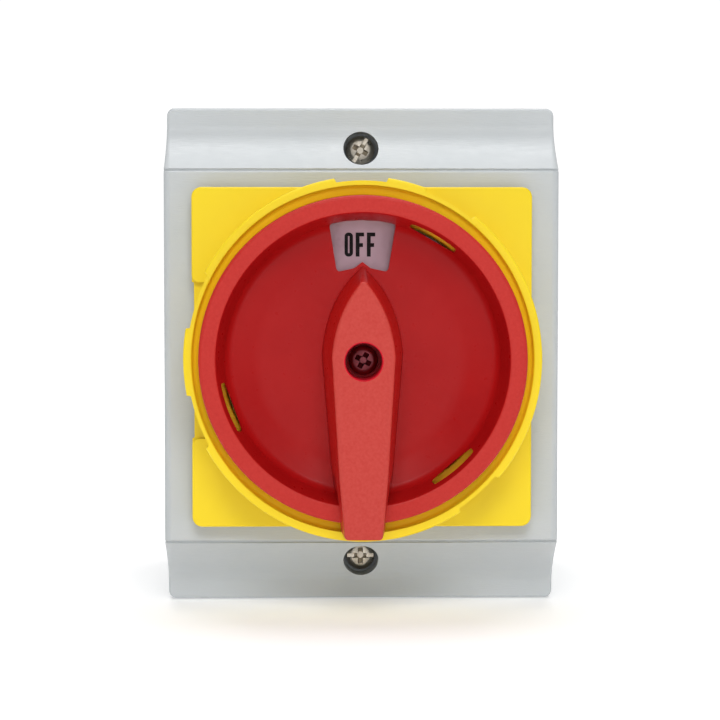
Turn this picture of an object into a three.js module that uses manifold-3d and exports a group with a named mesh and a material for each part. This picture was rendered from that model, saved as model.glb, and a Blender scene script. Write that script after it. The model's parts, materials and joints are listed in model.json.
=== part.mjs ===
// Enclosed rotary isolator switch for a wall: a grey box with a raised cover, a yellow plate and collar,
// and a red padlockable knob that turns a square shaft through a detent and two cam-operated contact stages.
//
// Everything is drawn in the switch's own frame, in millimetres: x to the right, y up and z out of the wall
// towards the person who turns the knob, with the origin at the middle of the back face. The exported group
// then stands the switch upright: its front faces -Y and its top is +Z.

import * as THREE from "three";
import { mergeVertices } from "three/addons/utils/BufferGeometryUtils.js";
import Module from "manifold-3d";

const wasm = await Module();
wasm.setup();

// ---- Driving dimensions ----

const GAP = 0.3; // clearance between pieces that rest on each other
const THROUGH = 1; // how far a cutter runs past the faces it cuts

const BOX = { width: 75, height: 95.5, corner: 1.6, wall: 2.5, floor: 3, depth: 38 };
const COVER = { back: BOX.depth + 2 * GAP, low: 56, raised: 66, rampTop: 35.2, rampFoot: 41.2 };
const COVER_SCREW = { y: 39.8, seat: 51, headRadius: 2.8, shankRadius: 1.5, end: 24, well: 3.4 };
const PILLAR = { radius: 5.5, pilot: 1.9 };
const GROOVE = { outer: 0.8, width: 1.2, bottom: BOX.depth - 1.4 };
const SEAL = { outer: 1.05, width: 0.7 };
const WALL_HOLE = { x: 27, y: 36, radius: 2.3 };
const KNOCK_OUT = { x: 18, z: 19, inner: 9.5, outer: 10.25, depth: 1.4 };
const EARTH = { x: -26, y: -26, seat: 8, side: 8, height: 8, wire: 2, tapped: 1.8, pillar: 4 };

const PLATE = { side: 64, corner: 1.9, back: COVER.raised + 1.1, thickness: 2.6, bore: 9 };
const PLATE_TOP = PLATE.back + PLATE.thickness;
const NOTCH = { top: 14.2, bottom: -15.3, reach: 6, depth: 1.2, inset: 0.4, radius: 1.6 };
const FIXING = { pitch: 36, hole: 2.1, headRadius: 2.9, shankRadius: 1.6, crown: 1.2, seat: PLATE.back + 1 };
const SHAFT_HOLE = 6.5;

const DIAL = { inner: 10, outer: 25.9, back: PLATE_TOP + 0.2, thickness: 0.5 };
const COLLAR = { flange: 26.2, bore: 30.5, lip: 31.8, wall: 32.8, lug: 33.6, back: DIAL.back, top: 79.4 };
const COLLAR_Z = { flange: COLLAR.back + 2.5, lug: COLLAR.top - 1.8, ledge: COLLAR.top - 1.1 };
const PADLOCK = { bearings: [30, 140, 250], width: 9.5, inner: 25.4, low: 71.8, high: 77 };
const LUG_GAPS = [[-8.7, 7.7], [20.2, 37.9], [131.4, 147.4], [240.6, 258.4], [280.4, 298.7]];

const KNOB = { outer: 30.1, rimInner: 26.9, skirtInner: 28.5, front: 82, floor: 74, under: 72.4, skirt: 73 };
const HUB = { radius: 5.7, back: PLATE.back };
const KNOB_SCREW = { headRadius: 2.7, shankRadius: 1.5, length: 12 };
const WASHER = { inner: 1.8, outer: 2.6, thickness: 0.6 };
const WINDOW = { inner: 16.4, outer: 25.7, halfAngle: 14.3, tip: 1.5 };
const GRIP = { front: 87.5, hole: 3.35, seat: 78.8, overhang: 80, widestY: 0.9, waistY: -21.6 };

const SHAFT = { side: 6, back: 25, front: 76.7, tapped: 1.8, tappedDepth: 11 };
const SQUARE_HOLE = SHAFT.side + GAP;

const BODY = { halfX: 23, halfY: 22, corner: 2, shaftHole: 5, frameHole: 6 };
const FRAME_Z = [59.5, 63.2];
const DETENT_Z = [48.5, 59.2];
const STAGE_Z = [[38, 48.2], [27.5, 37.7]];
const END_PLATE_Z = [24.5, 27.2];
const TIE = { y: 18, radius: 1.5, hole: 1.8, headRadius: 2.8 };

const CAM = { high: 9, low: 7, chamber: 10.5 };
const STAGE_FLOOR = 1.2;
const INDEX = { lobe: 9.6, notch: 8.4, chamber: 13 };
const PLUNGER_BACK = 15;
const NOSE = 1.5; // radius of the nose on each cam follower and detent plunger
const FOLLOWER = { halfWidth: 3, back: 16.5, bridge: 15, bridgeHalf: 12, barHalf: 2.5, spring: 20.8 };
const SPRING = { inner: 1.4, outer: 2.2 };
const CONTACT = { inner: 11.6, outer: 12.6, near: 9, far: 21.5, half: 2.8, hole: 1.8, screwY: 17 };
const TERMINAL = { seat: 4.2, headRadius: 2.6, shankRadius: 1.4, well: 3.1 };

// ---- Materials ----

const plastic = (color, roughness) => new THREE.MeshStandardMaterial({ color, roughness, metalness: 0 });
const metal = (color, roughness) => new THREE.MeshStandardMaterial({ color, roughness, metalness: 1 });
const GREY = plastic(0xc9cdcc, 0.5);
const YELLOW = plastic(0xfbdc33, 0.45);
const RED = plastic(0xc83a30, 0.5);
const SILVER = metal(0xc9c6cf, 0.35);
const BLACK = plastic(0x26272a, 0.6);
const IVORY = plastic(0xe6e0cf, 0.55);
const RUBBER = plastic(0x2b2b2b, 0.9);
const NICKEL = metal(0xb9b3a6, 0.3);
const STEEL = metal(0x9a9ca0, 0.35);
const BRASS = metal(0xc9a552, 0.35);
const COPPER = metal(0xb9714b, 0.35);

// ---- Solids ----

/** Turns a closed three.js geometry into a solid that can be cut and joined. */
function solid(geometry) {
  geometry.deleteAttribute("normal");
  geometry.deleteAttribute("uv");
  const merged = mergeVertices(geometry, 1e-3);
  const mesh = new wasm.Mesh({
    numProp: 3,
    vertProperties: new Float32Array(merged.attributes.position.array),
    triVerts: new Uint32Array(merged.index.array),
  });
  return new wasm.Manifold(mesh);
}

/** The geometry of a finished solid. */
function geometryOf(body) {
  const mesh = body.getMesh();
  const geometry = new THREE.BufferGeometry();
  geometry.setAttribute("position", new THREE.BufferAttribute(new Float32Array(mesh.vertProperties), 3));
  geometry.setIndex(new THREE.BufferAttribute(new Uint32Array(mesh.triVerts), 1));
  geometry.computeVertexNormals();
  return geometry;
}

const join = (first, ...others) => others.reduce((body, other) => body.add(other), first);
const cut = (first, ...others) => others.reduce((body, other) => body.subtract(other), first);

/** A flat outline raised from z = low to z = high. */
function prism(shape, low, high, curveSegments = 2) {
  const depth = high - low;
  const geometry = new THREE.ExtrudeGeometry(shape, { depth, bevelEnabled: false, curveSegments });
  return solid(geometry.translate(0, 0, low));
}

/** A box between two corners. */
function block([x0, y0, z0], [x1, y1, z1]) {
  const geometry = new THREE.BoxGeometry(x1 - x0, y1 - y0, z1 - z0);
  return solid(geometry.translate((x0 + x1) / 2, (y0 + y1) / 2, (z0 + z1) / 2));
}

/** A round bar along z. */
function rod(radius, low, high, x = 0, y = 0, sides = 12) {
  const geometry = new THREE.CylinderGeometry(radius, radius, high - low, sides);
  return solid(geometry.rotateX(Math.PI / 2).translate(x, y, (low + high) / 2));
}

/** A profile of [radius, z] points turned about z; it starts and ends on the axis or closes on itself. */
function turned(profile, sides = 20) {
  const points = profile.map(([radius, z]) => new THREE.Vector2(radius, z));
  return solid(new THREE.LatheGeometry(points, sides).rotateX(Math.PI / 2));
}

/** A ring along z with a plain rectangular section. */
function ring(inner, outer, low, high, sides = 20) {
  return turned([[inner, low], [outer, low], [outer, high], [inner, high], [inner, low]], sides);
}

/** A rectangle centred on the axis, with rounded corners. */
function roundedRectangle(width, height, radius) {
  const [x, y] = [width / 2, height / 2];
  const shape = new THREE.Shape();
  shape.moveTo(-x + radius, -y);
  shape.lineTo(x - radius, -y);
  shape.absarc(x - radius, -y + radius, radius, -Math.PI / 2, 0);
  shape.lineTo(x, y - radius);
  shape.absarc(x - radius, y - radius, radius, 0, Math.PI / 2);
  shape.lineTo(-x + radius, y);
  shape.absarc(-x + radius, y - radius, radius, Math.PI / 2, Math.PI);
  shape.lineTo(-x, -y + radius);
  shape.absarc(-x + radius, -y + radius, radius, Math.PI, 1.5 * Math.PI);
  return shape;
}

/** A closed outline whose radius depends on the angle in degrees, counted anticlockwise from the x axis. */
function polarShape(radiusAt, steps) {
  const points = [];
  for (let i = 0; i < steps; i += 1) {
    const degrees = (360 * i) / steps;
    const angle = THREE.MathUtils.degToRad(degrees);
    points.push(new THREE.Vector2(radiusAt(degrees) * Math.cos(angle), radiusAt(degrees) * Math.sin(angle)));
  }
  return new THREE.Shape(points);
}

/** Part of a ring between two bearings, in degrees clockwise from the top. */
function sector(inner, outer, from, to, low, high, segments = 3) {
  const [start, end] = [from, to].map((bearing) => THREE.MathUtils.degToRad(90 - bearing));
  const shape = new THREE.Shape();
  shape.absarc(0, 0, outer, start, end, true);
  shape.absarc(0, 0, inner, end, start, false);
  return prism(shape, low, high, segments);
}

/** Turns a solid about the z axis to a bearing, in degrees clockwise from the top. */
const atBearing = (body, bearing) => body.rotate([0, 0, -bearing]);

/** Lays a solid that was drawn along z down along x, with its z = 0 end at the axis. */
const alongX = (body, x, y, z) => body.rotate([0, 90, 0]).translate([x, y, z]);

/** A screw along z: a domed head with a cross recess above its seat, or a flat head with a slot. */
function screw(seat, end, headRadius, shankRadius, { crown = 2, slotted = false } = {}) {
  const top = seat + crown;
  const dome = [[headRadius, seat + 0.5 * crown], [headRadius * 0.8, seat + 0.85 * crown], [0, top]];
  const flat = [[headRadius, top], [0, top]];
  const shank = [[0, end], [shankRadius, end], [shankRadius, seat], [headRadius, seat]];
  const body = turned([...shank, ...(slotted ? flat : dome)], 12);
  const [arm, half, bottom] = [headRadius * (slotted ? 2 : 0.6), 0.35, seat + 0.45 * crown];
  const slot = block([-arm, -half, bottom], [arm, half, top + THROUGH]);
  return slotted ? cut(body, slot) : cut(body, slot, slot.rotate([0, 0, 90]));
}

// ---- The assembly ----

const isolator = new THREE.Group();
const switchFrame = new THREE.Group();
switchFrame.rotation.x = Math.PI / 2;
isolator.add(switchFrame);

/** Puts a finished sub-part into the assembly. */
function place(name, body, material) {
  const mesh = new THREE.Mesh(geometryOf(body), material);
  mesh.name = name;
  switchFrame.add(mesh);
}

const ENDS = [1, -1]; // top and bottom, or right and left

// ---- Enclosure ----

/** The box's outline at a distance inside its skin. */
function boxInset(inset, radius) {
  return roundedRectangle(BOX.width - 2 * inset, BOX.height - 2 * inset, radius);
}

/** A rectangular ring that runs round inside the box's skin. */
function rectangularRing(inset, width, low, high) {
  const inside = prism(boxInset(inset + width, 0.8), low - THROUGH, high + THROUGH);
  return cut(prism(boxInset(inset, 1.2), low, high), inside);
}

/** The rear box: wall holes, cover-screw pillars, an earth pillar and four round cable knock-outs. */
function baseBox() {
  const pillarTop = BOX.depth - 1;
  let body = cut(
    prism(boxInset(0, BOX.corner), 0, BOX.depth),
    prism(boxInset(BOX.wall, 1), BOX.floor, BOX.depth + THROUGH),
  );
  for (const end of ENDS) {
    const y = end * COVER_SCREW.y;
    body = join(body, rod(PILLAR.radius, BOX.floor - 1, pillarTop, 0, y));
    body = cut(body, rod(PILLAR.pilot, COVER_SCREW.end - 1, pillarTop + THROUGH, 0, y));
  }
  body = body.intersect(prism(boxInset(0, BOX.corner), 0, BOX.depth));
  body = join(body, rod(EARTH.pillar, BOX.floor - 1, EARTH.seat, EARTH.x, EARTH.y));
  body = cut(body, rectangularRing(GROOVE.outer, GROOVE.width, GROOVE.bottom, BOX.depth + THROUGH));
  for (const side of ENDS) {
    for (const end of ENDS) {
      const [x, y] = [side * WALL_HOLE.x, end * WALL_HOLE.y];
      const wallHole = rod(WALL_HOLE.radius, -THROUGH, BOX.floor + THROUGH, x, y);
      const knockOut = ring(KNOCK_OUT.inner, KNOCK_OUT.outer, -KNOCK_OUT.depth, THROUGH, 16)
        .rotate([end > 0 ? -90 : 90, 0, 0])
        .translate([side * KNOCK_OUT.x, (end * BOX.height) / 2, KNOCK_OUT.z]);
      body = cut(body, wallHole, knockOut);
    }
  }
  return body;
}

/** The cover's side view at one wall thickness inside its skin, drawn in y and z and extruded along x. */
function coverBlock(inset, back) {
  const edge = 0.6;
  const top = COVER.raised - inset;
  const low = COVER.low - inset;
  const half = BOX.height / 2 - inset;
  const [head, foot] = [COVER.rampTop - inset * 0.5, COVER.rampFoot - inset * 0.5];
  const shape = new THREE.Shape();
  shape.moveTo(-half, back);
  shape.lineTo(half, back);
  shape.lineTo(half, low);
  shape.lineTo(foot + 1.6, low);
  shape.quadraticCurveTo(foot - 0.6, low + 0.2, foot - 2, low + 2.8);
  shape.lineTo(head + 0.25, top - edge);
  shape.quadraticCurveTo(head, top, head - edge, top);
  shape.lineTo(-head + edge, top);
  shape.quadraticCurveTo(-head, top, -head - 0.25, top - edge);
  shape.lineTo(-foot + 2, low + 2.8);
  shape.quadraticCurveTo(-foot + 0.6, low + 0.2, -foot - 1.6, low);
  shape.lineTo(-half, low);
  const width = BOX.width - 2 * inset;
  // The outline lies in x and y: a turn about z and one about x put its x along y and its y along z.
  const geometry = new THREE.ExtrudeGeometry(shape, { depth: width, bevelEnabled: false, curveSegments: 4 });
  geometry.translate(0, 0, -width / 2);
  geometry.rotateX(Math.PI / 2);
  geometry.rotateZ(Math.PI / 2);
  return solid(geometry);
}

/** The cover: raised middle, ramps to the two low ends, screw wells and the holes behind the yellow plate. */
function cover() {
  const outline = prism(boxInset(0, BOX.corner), COVER.back, COVER.raised + THROUGH);
  let body = coverBlock(0, COVER.back).intersect(outline);
  body = cut(body, coverBlock(BOX.wall, COVER.back - THROUGH));
  for (const end of ENDS) {
    const y = end * COVER_SCREW.y;
    const pillar = rod(PILLAR.radius, COVER.back, COVER.raised, 0, y, 16);
    body = join(body, pillar.intersect(coverBlock(0, COVER.back)));
    body = cut(body, rod(PILLAR.pilot, COVER.back - THROUGH, COVER.raised, 0, y));
    body = cut(body, rod(COVER_SCREW.well, COVER_SCREW.seat, COVER.raised + THROUGH, 0, y, 20));
  }
  const front = COVER.raised + THROUGH;
  return cut(body, rod(SHAFT_HOLE, COVER.low, front), ...fixingHoles(COVER.low, front));
}

/** Where the four screws that hold the switch behind the cover stand. */
function fixingPoints() {
  return ENDS.flatMap((side) => ENDS.map((end) => [(side * FIXING.pitch) / 2, (end * FIXING.pitch) / 2]));
}

/** The clearance holes for those screws, as cutters. */
function fixingHoles(low, high) {
  return fixingPoints().map(([x, y]) => rod(FIXING.hole, low, high, x, y));
}

/** A brass block with a wire hole through it and a tapped hole from above. */
function earthTerminal() {
  const [half, low] = [EARTH.side / 2, EARTH.seat + GAP];
  const wireZ = low + 3;
  const wireHole = rod(EARTH.wire, -half - THROUGH, half + THROUGH, 0, 0, 12).rotate([90, 0, 0]);
  return cut(
    block([-half, -half, low], [half, half, low + EARTH.height]),
    wireHole.translate([0, 0, wireZ]),
    rod(EARTH.tapped, wireZ, low + EARTH.height + THROUGH),
  ).translate([EARTH.x, EARTH.y, 0]);
}

place("base_box", baseBox(), GREY);
place("cover", cover(), GREY);
const gasketBottom = GROOVE.bottom + GAP;
place("cover_gasket", rectangularRing(SEAL.outer, SEAL.width, gasketBottom, BOX.depth + GAP), RUBBER);
for (const end of ENDS) {
  const name = end > 0 ? "cover_screw_top" : "cover_screw_bottom";
  const { seat, end: tip, headRadius, shankRadius, y } = COVER_SCREW;
  place(name, screw(seat + GAP, tip, headRadius, shankRadius).translate([0, end * y, 0]), NICKEL);
}
place("earth_terminal", earthTerminal(), BRASS);
const earthTop = EARTH.seat + EARTH.height + 2 * GAP;
const earthScrew = screw(earthTop, earthTop - 3, 2.6, 1.5, { slotted: true });
place("earth_screw", earthScrew.translate([EARTH.x, EARTH.y, 0]), BRASS);

// ---- Yellow plate, collar and dial ----

/** The square plate with a lower step in its left edge and sunk seats for the four fixing screws. */
function yellowPlate() {
  const { side, corner, back, bore } = PLATE;
  let body = prism(roundedRectangle(side, side, corner), back, PLATE_TOP);
  const [low, high] = [back - THROUGH, PLATE_TOP + THROUGH];
  body = cut(body, rod(bore, low, high), ...fixingHoles(low, high));
  for (const [x, y] of fixingPoints()) {
    body = cut(body, rod(FIXING.headRadius + 0.4, FIXING.seat, high, x, y));
  }
  const left = -side / 2;
  const { top, bottom, reach, depth, inset, radius } = NOTCH;
  const step = prism(roundedRectangle(2 * reach, top - bottom, radius), PLATE_TOP - depth, high);
  const edge = block([left - 1, bottom, low], [left + inset, top, high]);
  return cut(body, step.translate([left, (top + bottom) / 2, 0]), edge);
}

/** The collar that shields the knob's edge, with a lip of lugs and three padlock ways through its wall. */
function yellowCollar() {
  const { flange, bore, lip, wall, lug, back, top } = COLLAR;
  const { flange: flangeTop, lug: lugBack, ledge } = COLLAR_Z;
  const outside = [[flange, back], [wall, back], [wall, lugBack], [lug, lugBack], [lug, top]];
  const inside = [[lip, top], [lip - 0.3, ledge], [bore, ledge], [bore, flangeTop], [flange, flangeTop]];
  let body = turned([...outside, ...inside, [flange, back]], 48);
  for (const [from, to] of LUG_GAPS) {
    body = cut(body, sector(wall, lug + 1, from, to, lugBack - THROUGH, top + THROUGH));
  }
  const half = PADLOCK.width / 2;
  for (const bearing of PADLOCK.bearings) {
    const way = block([-half, bore - 2, PADLOCK.low], [half, lug + 1, PADLOCK.high]);
    body = cut(body, atBearing(way, bearing));
  }
  return body;
}

/** The rubber sheet between the cover and the plate. */
function plateSeal() {
  const [low, high] = [COVER.raised + 0.25, PLATE.back - 0.25];
  const side = PLATE.side - 4;
  const body = prism(roundedRectangle(side, side, 2), low, high);
  return cut(body, rod(PLATE.bore, low - 1, high + 1), ...fixingHoles(low - 1, high + 1));
}

/** The rubber ring between the knob's hub and the plate. */
function shaftSeal() {
  const [middle, half] = [(HUB.radius + PLATE.bore) / 2, (PLATE.bore - HUB.radius) / 2 - GAP];
  const centre = PLATE.back + PLATE.thickness / 2;
  const profile = [];
  for (let i = 0; i < 6; i += 1) {
    const angle = (i * Math.PI) / 3;
    profile.push([middle + half * Math.cos(angle), centre + 1.1 * Math.sin(angle)]);
  }
  return turned([...profile, profile[0]], 16);
}

place("plate_seal", plateSeal(), RUBBER);
place("yellow_plate", yellowPlate(), YELLOW);
place("yellow_collar", yellowCollar(), YELLOW);
place("dial_plate", ring(DIAL.inner, DIAL.outer, DIAL.back, DIAL.back + DIAL.thickness, 32), SILVER);
place("shaft_seal", shaftSeal(), RUBBER);
fixingPoints().forEach(([x, y], i) => {
  const { seat, headRadius, shankRadius, crown } = FIXING;
  const body = screw(seat + GAP, FRAME_Z[0] + 0.5, headRadius, shankRadius, { crown, slotted: true });
  place(`mounting_screw_${i + 1}`, body.translate([x, y, 0]), STEEL);
});

// ---- Knob ----

/** The grip's outline from its pointed tip round to the left: widest near the shaft, narrow at the tail. */
function gripOutline({ tip, widest, waist, tail, tailEnd }) {
  const shape = new THREE.Shape();
  shape.moveTo(0, tip);
  shape.quadraticCurveTo(-widest * 0.95, tip - 6.5, -widest, GRIP.widestY);
  shape.lineTo(-waist, GRIP.waistY);
  shape.lineTo(-tail, tailEnd);
  shape.lineTo(tail, tailEnd);
  shape.lineTo(waist, GRIP.waistY);
  shape.lineTo(widest, GRIP.widestY);
  shape.quadraticCurveTo(widest * 0.95, tip - 6.5, 0, tip);
  const points = shape.extractPoints(6).shape;
  return points.filter((point, i) => i === 0 || point.distanceTo(points[i - 1]) > 1e-6).slice(0, -1);
}

/** A solid between two anticlockwise outlines that have the same number of points. */
function loft(lower, upper, low, high) {
  const count = lower.length;
  const positions = [
    ...lower.flatMap((p) => [p.x, p.y, low]),
    ...upper.flatMap((p) => [p.x, p.y, high]),
  ];
  const index = [];
  for (let i = 0; i < count; i += 1) {
    const next = (i + 1) % count;
    index.push(i, next, count + next, i, count + next, count + i);
  }
  for (const [a, b, c] of THREE.ShapeUtils.triangulateShape(lower, [])) {
    index.push(a, c, b);
  }
  for (const [a, b, c] of THREE.ShapeUtils.triangulateShape(upper, [])) {
    index.push(count + a, count + b, count + c);
  }
  const geometry = new THREE.BufferGeometry();
  geometry.setAttribute("position", new THREE.Float32BufferAttribute(positions, 3));
  geometry.setIndex(index);
  return solid(geometry);
}

/** The pointed grip bar, widest at its foot, with a tail that reaches over the collar. */
function grip() {
  const foot = gripOutline({ tip: 17.4, widest: 7.7, waist: 5.8, tail: 4.4, tailEnd: -31.8 });
  const face = gripOutline({ tip: 13.9, widest: 5.5, waist: 4.15, tail: 3.2, tailEnd: -32.3 });
  const bar = loft(foot, face, KNOB.floor - 1, GRIP.front);
  return cut(bar, ring(KNOB.outer - 0.2, 40, KNOB.floor - 2, GRIP.overhang, 48));
}

/** The knob's turned body: hub, underside, skirt, flat rim, steep inner wall and shallow dish. */
function knobBody() {
  const { outer, rimInner, skirtInner, front, floor, under, skirt } = KNOB;
  const groove = rimInner + 0.3;
  const profile = [
    [0, HUB.back], [HUB.radius, HUB.back], [HUB.radius, under],
    [groove, skirt], [groove, front - 2.5], [skirtInner, front - 2.5], [skirtInner, skirt],
    [outer, skirt], [outer, front - 0.5], [outer - 0.5, front],
    [rimInner + 0.4, front], [rimInner - 0.2, front - 0.8],
    [PADLOCK.inner, floor + 2.6], [23.6, floor + 1.2], [18, floor + 0.3], [0, floor],
  ];
  return turned(profile, 48);
}

/** The dished knob with its grip, shaft socket, screw hole, window and padlock slots. */
function knob() {
  const half = SQUARE_HOLE / 2;
  const socket = block([-half, -half, HUB.back - THROUGH], [half, half, GRIP.seat - 1.8]);
  const screwHole = rod(PILLAR.pilot, HUB.back, GRIP.front);
  const headHole = rod(GRIP.hole, GRIP.seat, GRIP.front + THROUGH, 0, 0, 20);
  const halfWay = PADLOCK.width / 2;
  const slot = block([-halfWay, PADLOCK.inner, KNOB.skirt - 2], [halfWay, KNOB.outer + 2, KNOB.front - 1.8]);
  const slots = PADLOCK.bearings.map((bearing) => atBearing(slot, bearing));
  return cut(join(knobBody(), grip()), socket, screwHole, headHole, windowCutter(), ...slots);
}

/** The window over the dial, with the point of the grip's foot left standing in it. */
function windowCutter() {
  const { inner, outer, halfAngle, tip } = WINDOW;
  const shape = new THREE.Shape();
  shape.moveTo(-2 * tip, inner - 2);
  shape.lineTo(2 * tip, inner - 2);
  shape.lineTo(0, inner + tip);
  const point = prism(shape, KNOB.under - 3, GRIP.front);
  return cut(sector(inner, outer, -halfAngle, halfAngle, KNOB.under - 2, KNOB.floor + 4), point);
}

place("knob", knob(), RED);
const washerBack = GRIP.seat + GAP;
const washerFront = washerBack + WASHER.thickness;
const knobScrewSeat = washerFront + GAP;
place("knob_washer", ring(WASHER.inner, WASHER.outer, washerBack, washerFront, 20), STEEL);
place(
  "knob_screw",
  screw(knobScrewSeat, knobScrewSeat - KNOB_SCREW.length, KNOB_SCREW.headRadius, KNOB_SCREW.shankRadius),
  NICKEL,
);

/** The square shaft, tapped at its front end for the knob's screw. */
function shaft() {
  const half = SHAFT.side / 2;
  const bar = block([-half, -half, SHAFT.back], [half, half, SHAFT.front]);
  return cut(bar, rod(SHAFT.tapped, SHAFT.front - SHAFT.tappedDepth, SHAFT.front + THROUGH));
}

place("shaft", shaft(), STEEL);

// ---- Switch body: frame and detent ----

/** A square slab of the switch's stack, with the two tie-bolt holes. */
function slab(low, high) {
  const body = prism(roundedRectangle(2 * BODY.halfX, 2 * BODY.halfY, BODY.corner), low, high, 1);
  return cut(body, ...ENDS.map((end) => rod(TIE.hole, low - 1, high + 1, 0, end * TIE.y, 12)));
}

/** The square frame behind the cover that the fixing screws pull the switch up to. */
function mountingFrame() {
  const [low, high] = FRAME_Z;
  const holes = fixingHoles(low - 1, high + 1);
  return cut(slab(low, high), rod(BODY.frameHole, low - 1, high + 1), ...holes);
}

const DETENT_MIDDLE = (DETENT_Z[0] + DETENT_Z[1]) / 2;

/** The housing around the index wheel, with a channel each side for a sprung plunger. */
function detentHousing() {
  const [low, high] = DETENT_Z;
  const [floor, roof] = [low + 1.5, high + THROUGH];
  const half = FOLLOWER.halfWidth + GAP;
  const chamber = rod(INDEX.chamber, floor, roof, 0, 0, 20);
  const channel = block([INDEX.chamber - 2, -half, floor], [FOLLOWER.spring + GAP, half, roof]);
  const channels = ENDS.map((side) => mirrored(channel, side));
  return cut(slab(low, high), chamber, rod(BODY.shaftHole, low - 1, roof), ...channels);
}

/** A plate cam with a square bore. */
function plateCam(radiusAt, low, high) {
  const half = SQUARE_HOLE / 2;
  const bore = block([-half, -half, low - 1], [half, half, high + 1]);
  return cut(prism(polarShape(radiusAt, 48), low, high), bore);
}

/** The index wheel's outline: a notch at every quarter turn, with lobes between. */
function indexRadius(degrees) {
  const middle = (INDEX.lobe + INDEX.notch) / 2;
  return middle - ((INDEX.lobe - INDEX.notch) / 2) * Math.cos(THREE.MathUtils.degToRad(4 * degrees));
}

/** A bar along x with a round nose towards the shaft, drawn on the right. */
function noseBar(tip, back, halfWidth, low, high) {
  const shape = new THREE.Shape();
  shape.absarc(tip + NOSE, 0, NOSE, Math.PI / 2, 1.5 * Math.PI);
  shape.lineTo(tip + NOSE, -halfWidth);
  shape.lineTo(back, -halfWidth);
  shape.lineTo(back, halfWidth);
  shape.lineTo(tip + NOSE, halfWidth);
  return prism(shape, low, high, 3);
}

/** A spring's sleeve along x, drawn on the right. */
function springSleeve(from, to, z) {
  return alongX(ring(SPRING.inner, SPRING.outer, from, to, 10), 0, 0, z);
}

/** A solid drawn on the right, or the same turned round to the left. */
function mirrored(body, side) {
  return side > 0 ? body : body.rotate([0, 0, 180]);
}

const SIDE_NAMES = { 1: "right", [-1]: "left" };

place("mounting_frame", mountingFrame(), BLACK);
place("detent_housing", detentHousing(), BLACK);
place("index_wheel", plateCam(indexRadius, DETENT_Z[0] + 1.8, DETENT_Z[1] - 0.8), IVORY);
for (const side of ENDS) {
  const [low, high] = [DETENT_Z[0] + 1.8, DETENT_Z[1] - 0.5];
  const plunger = noseBar(INDEX.lobe + GAP, PLUNGER_BACK, FOLLOWER.halfWidth, low, high);
  place(`detent_plunger_${SIDE_NAMES[side]}`, mirrored(plunger, side), IVORY);
  const spring = springSleeve(PLUNGER_BACK + GAP, FOLLOWER.spring, DETENT_MIDDLE);
  place(`detent_spring_${SIDE_NAMES[side]}`, mirrored(spring, side), STEEL);
}

// ---- Contact stages ----

/** The contact cam's outline: its radius falls evenly over a quarter turn and rises evenly over the next. */
function camRadius(degrees) {
  const turn = degrees % 180;
  const share = turn < 90 ? turn / 90 : (180 - turn) / 90;
  return CAM.high - (CAM.high - CAM.low) * share;
}

/** A stage's housing: a round cam chamber, a pocket each side for the bridge, and four screw wells. */
function stageHousing(low, high) {
  const [floor, roof] = [low + STAGE_FLOOR, high + THROUGH];
  const chamber = rod(CAM.chamber, floor, roof, 0, 0, 20);
  let body = cut(slab(low, high), chamber, rod(BODY.shaftHole, low - 1, roof));
  const { halfWidth, bridgeHalf, spring } = FOLLOWER;
  const { inner, outer, near, screwY } = CONTACT;
  const channel = block([CAM.high - 1, -halfWidth - GAP, floor], [spring + GAP, halfWidth + GAP, roof]);
  const pocket = block([outer + GAP, -bridgeHalf - 0.8, floor], [spring - 1, bridgeHalf + 0.8, roof]);
  for (const side of ENDS) {
    body = cut(body, mirrored(channel, side), mirrored(pocket, side));
    for (const end of ENDS) {
      const y0 = end > 0 ? near - GAP : -BODY.halfY - 1;
      const y1 = end > 0 ? BODY.halfY + 1 : -near + GAP;
      const bar = block([inner - GAP, y0, floor], [outer + 2 * GAP, y1, roof]);
      const [wellLow, wellHigh] = [end * screwY - TERMINAL.well, end * screwY + TERMINAL.well];
      const well = block([outer, wellLow, floor], [BODY.halfX + 1, wellHigh, roof]);
      body = cut(body, mirrored(bar, side), mirrored(well, side));
    }
  }
  return body;
}

/** A cam follower with its contact bridge across it, drawn on the right. */
function contactBridge(low, high) {
  const { halfWidth, back, bridge, bridgeHalf, barHalf } = FOLLOWER;
  const middle = (low + high) / 2;
  const follower = noseBar(CAM.high + GAP, back, halfWidth, low, high);
  const bar = block([bridge, -bridgeHalf, middle - barHalf], [bridge + 1, bridgeHalf, middle + barHalf]);
  return join(follower, bar);
}

/** A fixed contact, drawn at the upper right: a flat bar from the bridge to the terminal's screw hole. */
function fixedContact(low, high) {
  const { inner, outer, near, far, half, hole, screwY } = CONTACT;
  const middle = (low + high) / 2;
  const bore = alongX(rod(hole, inner - 1, outer + 1, 0, 0, 10), 0, screwY, middle);
  return cut(block([inner, near, middle - half], [outer, far, middle + half]), bore);
}

/** A terminal's clamp screw, backed off as delivered. */
function terminalScrew(low, high) {
  const { seat, headRadius, shankRadius } = TERMINAL;
  const body = screw(CONTACT.outer + seat, CONTACT.inner - 0.2, headRadius, shankRadius, { slotted: true });
  return alongX(body, 0, CONTACT.screwY, (low + high) / 2);
}

/** Moves a solid drawn at a stage's upper right to one of its other corners. */
function toCorner(body, side, end, low, high) {
  const upright = end > 0 ? body : body.rotate([180, 0, 0]).translate([0, 0, low + high]);
  return mirrored(upright, side);
}

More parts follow.
